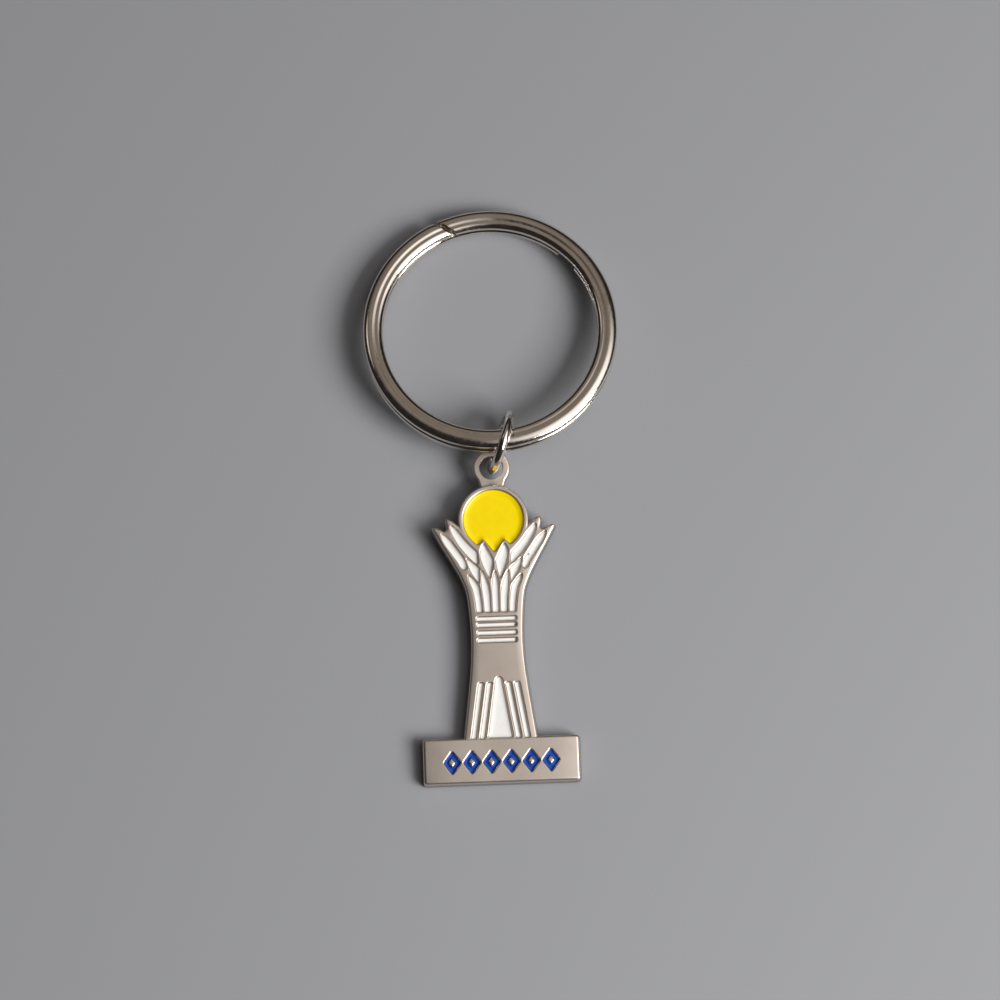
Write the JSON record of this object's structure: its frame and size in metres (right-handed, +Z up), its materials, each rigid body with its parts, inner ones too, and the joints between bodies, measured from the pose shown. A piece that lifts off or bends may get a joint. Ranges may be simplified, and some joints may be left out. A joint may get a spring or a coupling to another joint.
{
  "type": "keychain",
  "caption": "Flat enamelled metal pendant in the shape of a flared tower with a disc, on a jump ring and a split key ring.",
  "frame": {"origin": "on the table, under the middle of the whole keychain as it lies at rest", "axes": "+Z up from the table, +Y along the pendant from its plinth toward the split ring, +X to the right seen from above"},
  "size_m": [0.0308, 0.0706, 0.008],
  "materials": {
    "satin_nickel": "satin warm nickel plate on a zinc casting, edges polished",
    "polished_nickel": "polished nickel plate on spring steel wire",
    "white_enamel": "glossy soft enamel",
    "yellow_enamel": "glossy soft enamel",
    "blue_enamel": "glossy soft enamel"
  },
  "bodies": {
    "pendant": {"pendant_casting": "satin_nickel", "enamel_disc": "yellow_enamel", "enamel_petal_outer_left": "white_enamel", "enamel_petal_outer_right": "white_enamel", "enamel_petal_inner_left": "white_enamel", "enamel_petal_inner_right": "white_enamel", "enamel_petal_side_left": "white_enamel", "enamel_petal_side_right": "white_enamel", "enamel_petal_centre_left": "white_enamel", "enamel_petal_centre_right": "white_enamel", "enamel_petal_low_outer_left": "white_enamel", "enamel_petal_low_outer_right": "white_enamel", "enamel_petal_low_inner_left": "white_enamel", "enamel_petal_low_inner_right": "white_enamel", "enamel_petal_low_middle": "white_enamel", "enamel_bar_1": "white_enamel", "enamel_bar_2": "white_enamel", "enamel_bar_3": "white_enamel", "enamel_bar_4": "white_enamel", "enamel_stripe_1": "white_enamel", "enamel_stripe_2": "white_enamel", "enamel_stripe_3": "white_enamel", "enamel_stripe_4": "white_enamel", "enamel_triangle": "white_enamel", "enamel_mark_1": "blue_enamel", "enamel_mark_2": "blue_enamel", "enamel_mark_3": "blue_enamel", "enamel_mark_4": "blue_enamel", "enamel_mark_5": "blue_enamel", "enamel_mark_6": "blue_enamel"},
    "jump_link": {"jump_ring": "polished_nickel"},
    "key_ring": {"split_ring": "polished_nickel"}
  },
  "joints": [
    {"name": "jump_ring_swing", "type": "hinge", "parent": "pendant", "child": "jump_link", "pos_m": [-0.00047, 0.00483, 0.00259], "axis": [1, 0, 0], "range_deg": [-85, 15]},
    {"name": "split_ring_swing", "type": "hinge", "parent": "jump_link", "child": "key_ring", "pos_m": [0.00111, 0.00587, 0.0048], "axis": [1, 0, 0], "range_deg": [-75, 150]}
  ]
}
